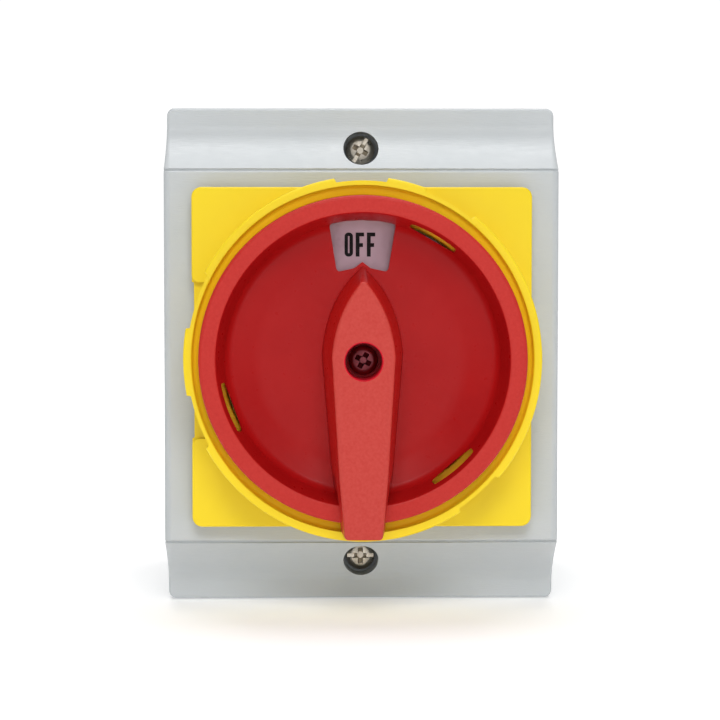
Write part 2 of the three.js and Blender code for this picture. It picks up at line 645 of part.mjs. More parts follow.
STAGE_Z.forEach(([low, high], i) => {
  const stage = i + 1;
  const [innerLow, innerHigh] = [low + STAGE_FLOOR + GAP, high - 0.5];
  place(`contact_housing_${stage}`, stageHousing(low, high), BLACK);
  place(`cam_${stage}`, plateCam(camRadius, innerLow, innerHigh), IVORY);
  for (const side of ENDS) {
    const where = `${stage}_${SIDE_NAMES[side]}`;
    place(`contact_bridge_${where}`, mirrored(contactBridge(innerLow, innerHigh), side), COPPER);
    const spring = springSleeve(FOLLOWER.back + GAP, FOLLOWER.spring, (innerLow + innerHigh) / 2);
    place(`contact_spring_${where}`, mirrored(spring, side), STEEL);
    for (const end of ENDS) {
      const corner = `${where}_${end > 0 ? "upper" : "lower"}`;
      const contact = toCorner(fixedContact(innerLow, innerHigh), side, end, innerLow, innerHigh);
      const clamp = toCorner(terminalScrew(innerLow, innerHigh), side, end, innerLow, innerHigh);
      place(`fixed_contact_${corner}`, contact, COPPER);
      place(`terminal_screw_${corner}`, clamp, NICKEL);
    }
  }
});

// ---- Stack ends ----

const [endLow, endHigh] = END_PLATE_Z;
place("end_plate", cut(slab(endLow, endHigh), rod(BODY.shaftHole, endLow - 1, endHigh + 1)), BLACK);
const tieBolt = screw(0, endLow - FRAME_Z[0] - 2, TIE.headRadius, TIE.radius, { slotted: true });
for (const end of ENDS) {
  const bolt = tieBolt.rotate([180, 0, 0]).translate([0, end * TIE.y, endLow - GAP]);
  place(`tie_bolt_${end > 0 ? "top" : "bottom"}`, bolt, STEEL);
}

export default isolator;
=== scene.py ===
"""Enclosed rotary isolator switch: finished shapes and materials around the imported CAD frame.

Lengths in the shape functions are millimetres. An outline is a list of (across, up) points seen from the
front, and depth is counted from the wall towards the viewer. The front faces -Y.
"""

import json
import math

import bmesh
import bpy
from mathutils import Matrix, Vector

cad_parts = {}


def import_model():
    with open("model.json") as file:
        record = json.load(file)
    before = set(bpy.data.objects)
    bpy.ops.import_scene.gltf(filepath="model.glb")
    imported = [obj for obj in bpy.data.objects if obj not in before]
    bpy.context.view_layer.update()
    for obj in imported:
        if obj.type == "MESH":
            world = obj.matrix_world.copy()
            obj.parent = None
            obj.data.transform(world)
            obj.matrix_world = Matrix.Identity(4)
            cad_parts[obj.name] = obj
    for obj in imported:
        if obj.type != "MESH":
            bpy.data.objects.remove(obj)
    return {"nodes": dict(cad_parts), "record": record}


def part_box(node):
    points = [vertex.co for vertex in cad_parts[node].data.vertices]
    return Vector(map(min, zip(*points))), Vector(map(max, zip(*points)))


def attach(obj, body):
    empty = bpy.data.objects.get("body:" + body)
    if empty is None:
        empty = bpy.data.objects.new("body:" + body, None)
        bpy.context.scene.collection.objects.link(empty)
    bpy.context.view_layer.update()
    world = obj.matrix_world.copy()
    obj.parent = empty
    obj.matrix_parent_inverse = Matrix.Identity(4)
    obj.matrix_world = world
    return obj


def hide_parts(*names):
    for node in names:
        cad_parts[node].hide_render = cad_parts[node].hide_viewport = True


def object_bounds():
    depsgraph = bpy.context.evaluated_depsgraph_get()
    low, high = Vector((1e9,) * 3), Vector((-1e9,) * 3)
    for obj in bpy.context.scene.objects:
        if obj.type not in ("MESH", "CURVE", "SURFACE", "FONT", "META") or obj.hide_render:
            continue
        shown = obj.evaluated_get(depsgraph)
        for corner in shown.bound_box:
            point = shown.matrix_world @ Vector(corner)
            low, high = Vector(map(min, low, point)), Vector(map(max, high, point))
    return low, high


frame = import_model()
cad_low, cad_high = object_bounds()

MM = 0.001


# ---- Sizes, from the CAD frame ----


def span(node):
    """A CAD node's (left, right, bottom, top, back, front) in millimetres, back and front as depths."""
    low, high = (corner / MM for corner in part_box(node))
    return low.x, high.x, low.z, high.z, -high.y, -low.y


_, HALF_WIDTH, _, HALF_HEIGHT, COVER_BACK, RAISED = span("cover")
BASE_FRONT = span("base_box")[5]
_, PLATE_HALF, _, _, PLATE_BACK, PLATE_FRONT = span("yellow_plate")
_, LUG_RADIUS, _, _, COLLAR_BACK, COLLAR_FRONT = span("yellow_collar")
_, KNOB_RADIUS, TAIL_END, _, KNOB_BACK, GRIP_FRONT = span("knob")
_, DIAL_RADIUS, _, _, DIAL_BACK, DIAL_FRONT = span("dial_plate")
_, _, SCREW_LOW, SCREW_HIGH, _, SCREW_TOP = span("cover_screw_top")

SCREW_Z = (SCREW_LOW + SCREW_HIGH) / 2
LOW_END = RAISED - 10
RAMP_TOP, RAMP_FOOT = 35.2, 41.2
COVER_WALL = 2.5
BEVEL_STEPS, CORNER_STEPS = 6, 5
WELL_RADIUS = 3.4
PILOT_RADIUS = 1.9
SHAFT_HOLE_RADIUS = 6.5
WALL_HOLE = (27, 36)
WALL_HOLE_RADIUS = 2.3
KNOCK_OUT = (18, 19)

PLATE_BORE_RADIUS = 9
NOTCH_TOP, NOTCH_BOTTOM = 14.2, -15.3
DIAL_BORE_RADIUS = 10
WALL_RADIUS = LUG_RADIUS - 0.8
LIP_RADIUS = 31.8

RIM_FRONT = GRIP_FRONT - 5.5
RIM_WIDTH = 3.2
RIM_INNER = KNOB_RADIUS - RIM_WIDTH
DISH_FLOOR = RIM_FRONT - 8
SKIRT_BACK = RIM_FRONT - 9
SKIRT_INNER = KNOB_RADIUS - 1.6
HUB_RADIUS = 5.7
GRIP_HOLE_RADIUS, GRIP_HOLE_SEAT = 3.35, 78.8
WIDEST_AT, WAIST_AT = 0.9, -21.6

PADLOCK_BEARINGS = (30, 140, 250)
PADLOCK_HALF_WIDTH, PADLOCK_INNER = 4.75, 25.4
LUG_GAPS = ((-8.7, 7.7), (20.2, 37.9), (131.4, 147.4), (240.6, 258.4), (280.4, 298.7))


# ---- Outlines ----


def rounded(points, steps=6, closed=True):
    """Rounds the corners of a polygon of (a, b, radius) points with arcs."""
    result = []
    count = len(points)
    for i, (a, b, radius) in enumerate(points):
        corner = Vector((a, b))
        if radius <= 0 or (not closed and i in (0, count - 1)):
            result.append(corner)
            continue
        before = Vector(points[i - 1][:2]) - corner
        after = Vector(points[(i + 1) % count][:2]) - corner
        half_angle = before.angle(after) / 2
        if math.pi / 2 - half_angle < 1e-4:
            result.append(corner)
            continue
        reach = min(radius / math.tan(half_angle), 0.49 * before.length, 0.49 * after.length)
        real_radius = reach * math.tan(half_angle)
        start = corner + before.normalized() * reach
        end = corner + after.normalized() * reach
        middle = (before.normalized() + after.normalized()).normalized()
        centre = corner + middle * (real_radius / math.sin(half_angle))
        first = start - centre
        sweep = first.angle_signed(end - centre)
        for k in range(steps + 1):
            turn = -sweep * k / steps
            cos, sin = math.cos(turn), math.sin(turn)
            result.append(centre + Vector((first.x * cos - first.y * sin, first.x * sin + first.y * cos)))
    return result


def rectangle(half_width, half_height, radius, steps=8):
    corners = [(half_width, -half_height), (half_width, half_height), (-half_width, half_height)]
    corners.append((-half_width, -half_height))
    return rounded([(x, z, radius) for x, z in corners], steps)


def circle(radius, count=48, across=0.0, up=0.0):
    turns = (2 * math.pi * i / count for i in range(count))
    return [Vector((across + radius * math.cos(t), up + radius * math.sin(t))) for t in turns]


def pulled_in(outline, i, distance):
    """Point i of an anticlockwise outline, moved inwards."""
    point = outline[i]
    one = (point - outline[i - 1]).normalized()
    two = (outline[(i + 1) % len(outline)] - point).normalized()
    normal = Vector((-(one.y + two.y), one.x + two.x))
    return point + normal.normalized() * (distance / max(normal.length / 2, 0.5))


def inset(outline, distance):
    return [pulled_in(outline, i, distance) for i in range(len(outline))]


# ---- Meshes ----


def mesh_object(name, vertices, faces):
    """A new object from points in millimetres."""
    mesh = bpy.data.meshes.new(name)
    mesh.from_pydata([Vector(v) * MM for v in vertices], [], faces)
    mesh.validate()
    work = bmesh.new()
    work.from_mesh(mesh)
    bmesh.ops.remove_doubles(work, verts=work.verts, dist=1e-7)
    bmesh.ops.recalc_face_normals(work, faces=work.faces)
    work.to_mesh(mesh)
    work.free()
    made = bpy.data.objects.new(name, mesh)
    bpy.context.scene.collection.objects.link(made)
    return made


def skin_faces(count, levels):
    """The faces of a closed skin through so many rings of points, with a cap at each end."""
    last = (levels - 1) * count
    faces = [list(range(count)), [last + i for i in reversed(range(count))]]
    for level in range(levels - 1):
        low = level * count
        for i in range(count):
            j = (i + 1) % count
            faces.append([low + i, low + count + i, low + count + j, low + j])
    return faces


def stack(name, levels):
    """A closed solid through outlines at rising depths: levels is a list of (outline, depth)."""
    vertices = [(p.x, -depth, p.y) for outline, depth in levels for p in outline]
    return mesh_object(name, vertices, skin_faces(len(levels[0][0]), len(levels)))


def slab(name, outline, back, front, back_edge=0.0, front_edge=0.0, steps=5):
    """An outline with thickness, and rounded edges at the back and the front."""
    levels = []
    for edge, depth, sign in ((back_edge, back, 1), (front_edge, front, -1)):
        turns = [math.pi / 2 * k / steps for k in range(steps + 1)] if edge else [math.pi / 2]
        part = []
        for turn in turns:
            rise = sign * edge * (1 - math.cos(turn))
            part.append((inset(outline, edge * (1 - math.sin(turn))), depth + rise))
        levels += part if sign > 0 else part[::-1]
    return stack(name, levels)


def revolve(name, profile, count=192, radius_at=None):
    """A closed profile of (radius, depth) points turned about the knob's axis.

    radius_at changes a point's radius with its bearing, in degrees clockwise from the top.
    """
    vertices, faces = [], []
    size = len(profile)
    for i in range(count):
        bearing = 360 * i / count
        angle = math.radians(bearing)
        for radius, depth in profile:
            r = radius_at(radius, depth, bearing) if radius_at else radius
            vertices.append((r * math.sin(angle), -depth, r * math.cos(angle)))
    for i in range(count):
        here, there = i * size, (i + 1) % count * size
        for k in range(size):
            n = (k + 1) % size
            faces.append([here + k, there + k, there + n, here + n])
    return mesh_object(name, vertices, faces)


def bar(name, half_width, inner, outer, back, front, bearing, edge=0.4):
    """A cutter that runs outwards from the axis at a bearing, in degrees clockwise from the top."""
    made = slab(name, rounded([(-half_width, back, edge), (half_width, back, edge),
                               (half_width, front, edge), (-half_width, front, edge)], 4), inner, outer)
    angle = math.radians(bearing)
    across = Vector((math.cos(angle), 0, -math.sin(angle)))
    away = Vector((math.sin(angle), 0, math.cos(angle)))
    for v in made.data.vertices:
        width, run, depth = v.co.x, -v.co.y, v.co.z
        v.co = across * width + away * run + Vector((0, -depth, 0))
    made.data.flip_normals()
    return made


def finished(target):
    """The object's mesh with its modifiers applied."""
    graph = bpy.context.evaluated_depsgraph_get()
    mesh = bpy.data.meshes.new_from_object(target.evaluated_get(graph))
    target.modifiers.clear()
    old, target.data = target.data, mesh
    bpy.data.meshes.remove(old)
    mesh.name = target.name


def combine(target, others, operation="DIFFERENCE"):
    """Cuts other solids out of the target, or joins them to it, and removes them."""
    for other in others:
        step = target.modifiers.new("combine", "BOOLEAN")
        step.operation = operation
        step.solver = "EXACT"
        step.object = other
        finished(target)
        bpy.data.objects.remove(other)
    return target


def smooth(target, angle=32):
    """Smooth shading with sharp edges kept, and flat faces that stay flat beside rounded edges."""
    mesh = target.data
    mesh.polygons.foreach_set("use_smooth", [True] * len(mesh.polygons))
    mesh.set_sharp_from_angle(angle=math.radians(angle))
    weighted = target.modifiers.new("weighted normals", "WEIGHTED_NORMAL")
    weighted.keep_sharp = True
    weighted.weight = 80
    return target


def install(target, material, body, slot, *nodes):
    """Gives a piece its material and its CAD body, and hides the CAD nodes it stands for. Its record slot is
    not used.
    """
    smooth(target)
    if not target.data.materials:
        target.data.materials.append(material)
    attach(target, body)
    if nodes:
        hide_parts(*nodes)
    return target


# ---- Materials ----


class Shader:
    """A Principled material with small helpers for its procedural nodes."""

    def __init__(self, name, color, roughness, metallic=0.0, specular=0.5):
        self.material = bpy.data.materials.new(name)
        self.material.use_nodes = True
        self.nodes = self.material.node_tree.nodes
        self.links = self.material.node_tree.links
        self.shader = self.nodes["Principled BSDF"]
        self.shader.inputs["Base Color"].default_value = (*color, 1)
        self.shader.inputs["Roughness"].default_value = roughness
        self.shader.inputs["Metallic"].default_value = metallic
        self.shader.inputs["Specular IOR Level"].default_value = specular
        self.place = self.nodes.new("ShaderNodeTexCoord").outputs["Object"]

    def noise(self, scale, detail=3, stretch=(1, 1, 1), roughness=0.5):
        """A noise pattern with about scale features to the metre."""
        mapping = self.nodes.new("ShaderNodeMapping")
        mapping.inputs["Scale"].default_value = stretch
        self.links.new(self.place, mapping.inputs["Vector"])
        made = self.nodes.new("ShaderNodeTexNoise")
        made.inputs["Scale"].default_value = scale
        made.inputs["Detail"].default_value = detail
        made.inputs["Roughness"].default_value = roughness
        self.links.new(mapping.outputs["Vector"], made.inputs["Vector"])
        return made.outputs["Fac"]

    def ramp(self, value, low, high, from_low=0.3, from_high=0.7):
        """Maps a pattern's range to another range."""
        made = self.nodes.new("ShaderNodeMapRange")
        ends = {"From Min": from_low, "From Max": from_high, "To Min": low, "To Max": high}
        for name, number in ends.items():
            made.inputs[name].default_value = number
        self.links.new(value, made.inputs["Value"])
        return made.outputs["Result"]

    def tint(self, value, dark, light):
        """The base colour varies between two colours with a pattern."""
        made = self.nodes.new("ShaderNodeMix")
        made.data_type = "RGBA"
        made.inputs["A"].default_value = (*dark, 1)
        made.inputs["B"].default_value = (*light, 1)
        self.links.new(value, made.inputs["Factor"])
        self.links.new(made.outputs["Result"], self.shader.inputs["Base Color"])

    def rough(self, value):
        self.links.new(value, self.shader.inputs["Roughness"])

    def bump(self, value, depth_mm, strength=1.0):
        made = self.nodes.new("ShaderNodeBump")
        made.inputs["Strength"].default_value = strength
        made.inputs["Distance"].default_value = depth_mm * MM
        self.links.new(value, made.inputs["Height"])
        previous = self.shader.inputs["Normal"]
        if previous.is_linked:
            self.links.new(previous.links[0].from_socket, made.inputs["Normal"])
        self.links.new(made.outputs["Normal"], previous)


def grey_plastic():
    """Light grey moulded plastic with a fine grain."""
    made = Shader("grey_plastic", (0.6, 0.62, 0.61), 0.5)
    made.tint(made.ramp(made.noise(60, 4), 0, 1), (0.5, 0.53, 0.545), (0.53, 0.555, 0.57))
    made.rough(made.ramp(made.noise(700, 3), 0.42, 0.56))
    made.bump(made.noise(5200, 2), 0.012)
    return made.material


def grey_cover_plastic():
    """The cover's grey plastic: its ends sparkle in short horizontal streaks."""
    made = Shader("grey_cover_plastic", (0.6, 0.62, 0.61), 0.45)
    made.tint(made.ramp(made.noise(60, 4), 0, 1), (0.5, 0.53, 0.545), (0.53, 0.555, 0.57))
    made.rough(made.ramp(made.noise(500, 4, (1, 1, 5)), 0.34, 0.56))
    made.bump(made.noise(1800, 3, (0.3, 1, 3)), 0.055)
    made.bump(made.noise(5200, 2), 0.01)
    return made.material


def yellow_plastic(name, dark, light):
    made = Shader(name, dark, 0.45, specular=0.3)
    made.tint(made.ramp(made.noise(45, 4), 0, 1), dark, light)
    made.rough(made.ramp(made.noise(400, 3), 0.34, 0.46))
    made.bump(made.noise(3800, 2), 0.008)
    return made.material


def red_textured(name, dark, light):
    """The spark-eroded texture on the knob's rim and the front of its grip."""
    made = Shader(name, dark, 0.5, specular=0.33)
    made.tint(made.ramp(made.noise(1900, 4), 0, 1), dark, light)
    made.rough(made.ramp(made.noise(2000, 3), 0.44, 0.6))
    made.bump(made.noise(2600, 4, roughness=0.65), 0.035)
    return made.material


def red_smooth(name, dark, light):
    """Smoother red plastic with a faint cloudiness."""
    made = Shader(name, dark, 0.33, specular=0.15)
    made.tint(made.ramp(made.noise(90, 5), 0, 1), dark, light)
    made.rough(made.ramp(made.noise(900, 4), 0.27, 0.38))
    made.bump(made.noise(2400, 3), 0.008)
    return made.material


def silver_foil():
    made = Shader("silver_foil", (0.46, 0.3, 0.35), 0.38, metallic=0.4)
    made.rough(made.ramp(made.noise(1500, 3), 0.32, 0.46))
    made.bump(made.noise(900, 3), 0.006)
    return made.material


def metal(name, color, roughness, grain=(1, 1, 1)):
    made = Shader(name, color, roughness, metallic=1.0)
    made.rough(made.ramp(made.noise(900, 4, grain), roughness - 0.08, roughness + 0.12))
    dark = tuple(c * 0.82 for c in color)
    made.tint(made.ramp(made.noise(260, 4), 0, 1), dark, color)
    made.bump(made.noise(2200, 3, grain), 0.006)
    return made.material


def dull(name, color, roughness, grain_mm=0.01):
    made = Shader(name, color, roughness)
    made.tint(made.ramp(made.noise(120, 4), 0, 1), tuple(c * 0.8 for c in color), color)
    made.rough(made.ramp(made.noise(800, 3), roughness - 0.07, roughness + 0.07))
    made.bump(made.noise(3000, 3), grain_mm)
    return made.material


GREY, COVER_GREY = grey_plastic(), grey_cover_plastic()
YELLOW = yellow_plastic("yellow_plastic", (0.86, 0.64, 0.01), (0.9, 0.68, 0.014))
# The ledge yellow is the same plastic painted warmer and more orange: painted shade from the lip and the
# knob's rim, with painted warm bounce light.
LEDGE_SHADE_YELLOW = yellow_plastic("yellow_ledge_painted_shade", (0.97, 0.62, 0.01), (0.99, 0.65, 0.014))
# The knob's reds are lit and shaded copies of one red plastic: painted shade in the dish, painted light on
# the grip's sides, a painted sheen on the grip's front and painted bounce light in the screw hole. The rim
# and grip front keep a spark-eroded texture.
RIM_RED = red_textured("red_rim", (0.49, 0.014, 0.009), (0.53, 0.022, 0.015))
# The grip's front is a lighter, pinker copy of the rim red: a painted sheen on its textured face.
GRIP_SHEEN_RED = red_textured("red_grip_front_painted_sheen", (0.51, 0.034, 0.024), (0.55, 0.05, 0.037))
# The dish's darker red is painted shade: a darker copy of the knob's red where the dish lies deep inside the
# rim.
DISH_SHADED_RED = red_smooth("red_dish_painted_shade", (0.38, 0.005, 0.006), (0.42, 0.008, 0.008))
# The grip's sides get a lighter copy of the dish red: painted light.
GRIP_SIDE_LIT_RED = red_smooth("red_grip_side_painted_light", (0.5, 0.008, 0.006), (0.54, 0.012, 0.009))
# The screw hole's walls are a much brighter copy of the dish red: painted bounce light, so the deep hole
# reads maroon instead of black.
HOLE_BOUNCE_LIGHT_RED = red_smooth("red_hole_painted_bounce_light", (0.68, 0.012, 0.03), (0.72, 0.018, 0.036))
KNOB_LIT_AND_SHADED_REDS = (DISH_SHADED_RED, RIM_RED, GRIP_SHEEN_RED, GRIP_SIDE_LIT_RED, HOLE_BOUNCE_LIGHT_RED)
FOIL = silver_foil()
INK = dull("black_ink", (0.004, 0.002, 0.003), 0.85, 0.003)
CAD_MATERIALS = {
    "grey_housing": GREY,
    "yellow_plastic": YELLOW,
    "red_plastic": DISH_SHADED_RED,
    "silver_dial": FOIL,
    "black_plastic": dull("black_plastic", (0.02, 0.02, 0.022), 0.5),
    "ivory_plastic": dull("ivory_plastic", (0.72, 0.66, 0.5), 0.45),
    "rubber": dull("rubber", (0.025, 0.025, 0.025), 0.8, 0.02),
    "nickel_screw": metal("nickel", (0.56, 0.51, 0.43), 0.3),
    "steel": metal("zinc_steel", (0.5, 0.51, 0.53), 0.32),
    "brass": metal("brass", (0.62, 0.44, 0.15), 0.3),
    "copper": metal("copper", (0.6, 0.29, 0.17), 0.3),
}
NICKEL = CAD_MATERIALS["nickel_screw"]
# The grip screw's dark red base colour is painted shade of the deep hole it sits in and a painted reflection
# of the hole's red walls.
RED_REFLECTING_DARK_STEEL = metal("dark_steel_painted_red_reflection", (0.2, 0.05, 0.06), 0.35)


# ---- Enclosure ----


def cover_profile(thickness):
    """The cover's side view, as (up, depth) points, at one wall thickness inside its skin."""
    end = HALF_HEIGHT - thickness
    low, high = LOW_END - thickness, RAISED - thickness
    foot, top = RAMP_FOOT - thickness / 2, RAMP_TOP - thickness / 2
    points = [(end, COVER_BACK, 0), (end, low, 0.6)]
    start, corner = Vector((foot + 3.3, low)), Vector((foot, low))
    crease = Vector((top + 0.45, high - 0.4))
    for k in range(13):
        t = k / 12
        points.append((*start.lerp(corner, t).lerp(corner.lerp(crease, t), t), 0))
    points += [(top + 0.24, high - 0.68, 0.05), (top + 0.04, high - 0.68, 0.05), (top - 0.12, high, 0.35)]
    mirror = [(-up, depth, radius) for up, depth, radius in reversed(points)]
    return rounded(points + mirror, 8)


def cover_edge(edge, corner, step):
    """How far in from the side, and how much lower, one step of the cover's bevelled side edge is.

    The bevel comes first. The steps after it reach inwards past the rounded corner and lower nothing.
    """
    last = math.radians(76)
    turn = last * min(step, BEVEL_STEPS) / BEVEL_STEPS
    past_bevel = max(step - BEVEL_STEPS, 0) / CORNER_STEPS
    distance = edge * (1 - math.cos(turn)) / (1 - math.cos(last)) + (max(corner, edge) - edge) * past_bevel
    return distance, edge * (1 - math.sin(turn) / math.sin(last))


def cover_block(name, thickness, low_edge, high_edge, corner):
    """The cover's side view carried across its width, with bevelled side edges and rounded ends."""
    profile = cover_profile(thickness)
    half = HALF_WIDTH - thickness
    levels = []
    for side in (-1, 1):
        part = []
        for step in range(BEVEL_STEPS + CORNER_STEPS + 1):
            ring = []
            for up, depth in profile:
                share_up = min(max((depth - LOW_END) / (RAISED - LOW_END), 0), 1)
                edge = low_edge + (high_edge - low_edge) * share_up
                distance, shrink = cover_edge(edge, corner, step)
                rest = corner - min(distance, corner)
                pull = corner - math.sqrt(max(corner**2 - rest**2, 0))
                share = min(max((abs(up) - (HALF_HEIGHT - 4)) / 3, 0), 1)
                ring.append((side * (half - distance), -max(depth - shrink, COVER_BACK),
                             up - math.copysign(pull * share, up)))
            part.append(ring)
        levels += part if side < 0 else part[::-1]
    vertices = [v for ring in levels for v in ring]
    return mesh_object(name, vertices, skin_faces(len(profile), len(levels)))


def screw_well(sign):
    """The cutter for a cover screw's counterbore."""
    seat = SCREW_TOP - 2.3
    profile = [(0, seat), (WELL_RADIUS, seat), (WELL_RADIUS, RAISED + 5), (0, RAISED + 5)]
    made = revolve("well", profile, 64)
    for v in made.data.vertices:
        v.co.z += sign * SCREW_Z * MM
    return made


def build_cover():
    made = cover_block("front_cover", 0, 0.5, 1.25, 1.5)
    cavity = cover_block("cavity", COVER_WALL, 0.3, 0.3, 0.8)
    for v in cavity.data.vertices:
        if v.co.y > -(COVER_BACK + 0.01) * MM:
            v.co.y += 2 * MM
    combine(made, [cavity])
    posts = []
    for sign in (-1, 1):
        posts.append(slab("post", circle(4.6, 48, 0, sign * SCREW_Z), COVER_BACK + 0.02, LOW_END - 1))
    combine(made, posts, "UNION")
    holes = []
    for sign in (-1, 1):
        holes.append(slab("hole", circle(PILOT_RADIUS, 32, 0, sign * SCREW_Z), COVER_BACK - 1, LOW_END))
    shaft_hole = slab("hole", circle(SHAFT_HOLE_RADIUS, 64), LOW_END, RAISED + 1)
    combine(made, [screw_well(-1), screw_well(1), *holes, shaft_hole])
    return install(made, COVER_GREY, "enclosure", "grey_housing", "cover")


def build_base():
    outline = rectangle(HALF_WIDTH, HALF_HEIGHT, 1.8, 8)
    made = slab("rear_box", outline, 0, BASE_FRONT, 0.9, 0.35)
    inner = rectangle(HALF_WIDTH - COVER_WALL, HALF_HEIGHT - COVER_WALL, 1)
    cavity = slab("cavity", inner, 3, BASE_FRONT + 1)
    combine(made, [cavity])
    cutters = []
    for side in (-1, 1):
        for end in (-1, 1):
            outline = circle(WALL_HOLE_RADIUS, 32, side * WALL_HOLE[0], end * WALL_HOLE[1])
            cutters.append(slab("hole", outline, -1, 4))
            cutters.append(knock_out(side * KNOCK_OUT[0], KNOCK_OUT[1], end))
    combine(made, cutters)
    return install(made, GREY, "enclosure", "grey_housing", "base_box")


def knock_out(across, depth, end):
    """The cutter for the round groove of a cable knock-out in the top or bottom wall."""
    profile = rounded([(9.5, -1.2, 0.2), (10.25, -1.2, 0.2), (10.6, 1, 0), (9.2, 1, 0)], 3)
    groove = revolve("groove", profile, 96)
    for v in groove.data.vertices:
        x, y, z = v.co
        v.co = Vector((x + across * MM, z - depth * MM, end * (HALF_HEIGHT * MM - y)))
    if end > 0:
        groove.data.flip_normals()
    return groove


# ---- Yellow plate, collar and dial ----


def build_plate():
    outline = rectangle(PLATE_HALF, PLATE_HALF, 1.9)
    made = slab("front_plate", outline, PLATE_BACK, PLATE_FRONT, 0.2, 0.35)
    top, bottom, corner = NOTCH_TOP, NOTCH_BOTTOM, 1.5
    left = -PLATE_HALF
    mouth = left - 0.001
    step_outline = rounded([
        (left - 3, top + 3, 0),
        (left - 3, bottom - 3, 0),
        (mouth, bottom - 3, 0),
        (mouth, bottom, corner),
        (left + 6, bottom, corner),
        (left + 6, top, corner),
        (mouth, top, corner),
        (mouth, top + 3, 0),
    ])
    step = slab("step", step_outline, PLATE_FRONT - 1.2, PLATE_FRONT + 1, 0.25)
    shift = Vector((left - 1.6, (top + bottom) / 2))
    edge_outline = [p + shift for p in rectangle(2, (top - bottom) / 2, 0.4)]
    edge = slab("edge", edge_outline, PLATE_BACK - 1, PLATE_FRONT + 1)
    bore = slab("bore", circle(PLATE_BORE_RADIUS, 64), PLATE_BACK - 1, PLATE_FRONT + 1)
    combine(made, [step, edge, bore])
    return install(made, YELLOW, "enclosure", "yellow_plastic", "yellow_plate")


def collar_profile():
    """The collar's section: a flange, a wall with a lugged lip, and a ledge that closes on the knob."""
    lip, ledge, bore = LIP_RADIUS, COLLAR_FRONT - 1.3, KNOB_RADIUS + 0.12
    lug_back, flange_front = COLLAR_FRONT - 1.8, COLLAR_BACK + 2.5
    points = [
        (DIAL_RADIUS + 0.2, COLLAR_BACK, 0), (WALL_RADIUS, COLLAR_BACK, 0.2), (WALL_RADIUS, lug_back, 0),
        (LUG_RADIUS, lug_back, 0.25), (LUG_RADIUS, COLLAR_FRONT, 0.35), (lip, COLLAR_FRONT, 0.3),
        (lip - 0.35, ledge + 0.35, 0.9), (bore, ledge, 0.1), (bore, flange_front, 0.4),
        (DIAL_RADIUS + 0.2, flange_front, 0.3),
    ]
    return rounded(points, 5)


def in_gap(bearing):
    return any(start < turn < end for start, end in LUG_GAPS for turn in (bearing, bearing - 360))


def collar_radius(radius, depth, bearing):
    """Lugs stand out of the lip, and the wall and the lip's inner edge are a little taller than wide."""
    wall_pull, lip_pull = 0.3, 0.33
    taller = math.cos(2 * math.radians(bearing))
    if radius > WALL_RADIUS and in_gap(bearing):
        radius = WALL_RADIUS + (radius - WALL_RADIUS) * 0.05
    if radius > WALL_RADIUS - 0.3:
        return radius - wall_pull * (1 - taller)
    if depth > COLLAR_FRONT - 1.08 and radius < LIP_RADIUS + 0.2:
        return radius + lip_pull * taller
    return radius


def build_collar():
    made = revolve("padlock_collar", collar_profile(), 720, collar_radius)
    back, front = COLLAR_BACK + 1.9, COLLAR_FRONT - 2.6
    ways = [bar("way", PADLOCK_HALF_WIDTH, 29, 36, back, front, turn) for turn in PADLOCK_BEARINGS]
    combine(made, ways)
    made.data.materials.clear()
    for material in (YELLOW, LEDGE_SHADE_YELLOW):
        made.data.materials.append(material)
    # Faces inside the lip take the ledge yellow, which is painted shade.
    for face in made.data.polygons:
        centre = face.center / MM
        inside = math.hypot(centre.x, centre.z) < LIP_RADIUS - 0.05 and -centre.y < COLLAR_FRONT - 0.1
        face.material_index = 1 if inside else 0
    return install(made, YELLOW, "enclosure", "yellow_plastic", "yellow_collar")


def build_dial():
    profile = rounded([
        (DIAL_BORE_RADIUS, DIAL_BACK, 0.1),
        (DIAL_RADIUS, DIAL_BACK, 0.1),
        (DIAL_RADIUS, DIAL_FRONT, 0.15),
        (DIAL_BORE_RADIUS, DIAL_FRONT, 0.15),
    ], 3)
    made = revolve("dial_disc", profile, 160)
    return install(made, FOIL, "enclosure", "silver_dial", "dial_plate")


# Letters are drawn in a cell one unit high, as strokes of a condensed upright face.
STROKE = 0.16
LETTER_PITCH, HALF_LETTER = 0.465, 0.175
WORD_HEIGHT, WORD_RADIUS = 4.5, 21.2
WORD_SHIFT = -0.4


def letter_o():
    outer = rounded([(0, 0, 0.16), (0.35, 0, 0.16), (0.35, 1, 0.16), (0, 1, 0.16)], 8)
    return [outer, inset(outer, STROKE * 0.9)]


def letter_f():
    arm, middle = 0.35, 0.56
    return [[Vector(p) for p in (
        (0, 0), (STROKE, 0), (STROKE, middle - STROKE), (arm * 0.86, middle - STROKE), (arm * 0.86, middle),
        (STROKE, middle), (STROKE, 1 - STROKE), (arm, 1 - STROKE), (arm, 1), (0, 1))]]


def letter_n():
    wide, slant = 0.38, STROKE * 1.15
    return [[Vector(p) for p in (
        (0, 0), (STROKE, 0), (STROKE, 0.66), (wide - slant, 0), (wide, 0), (wide, 1), (wide - STROKE, 1),
        (wide - STROKE, 0.34), (slant, 1), (0, 1))]]


def placed_letter(outline, start, turn):
    """A letter's outline on the dial, as (x, z) points. A word stands a little left of its bearing."""
    points = []
    for p in outline:
        across = (start + p.x) * WORD_HEIGHT + WORD_SHIFT
        up = WORD_RADIUS + (p.y - 0.5) * WORD_HEIGHT
        x = across * math.cos(turn) + up * math.sin(turn)
        z = up * math.cos(turn) - across * math.sin(turn)
        points.append((x, z))
    return points


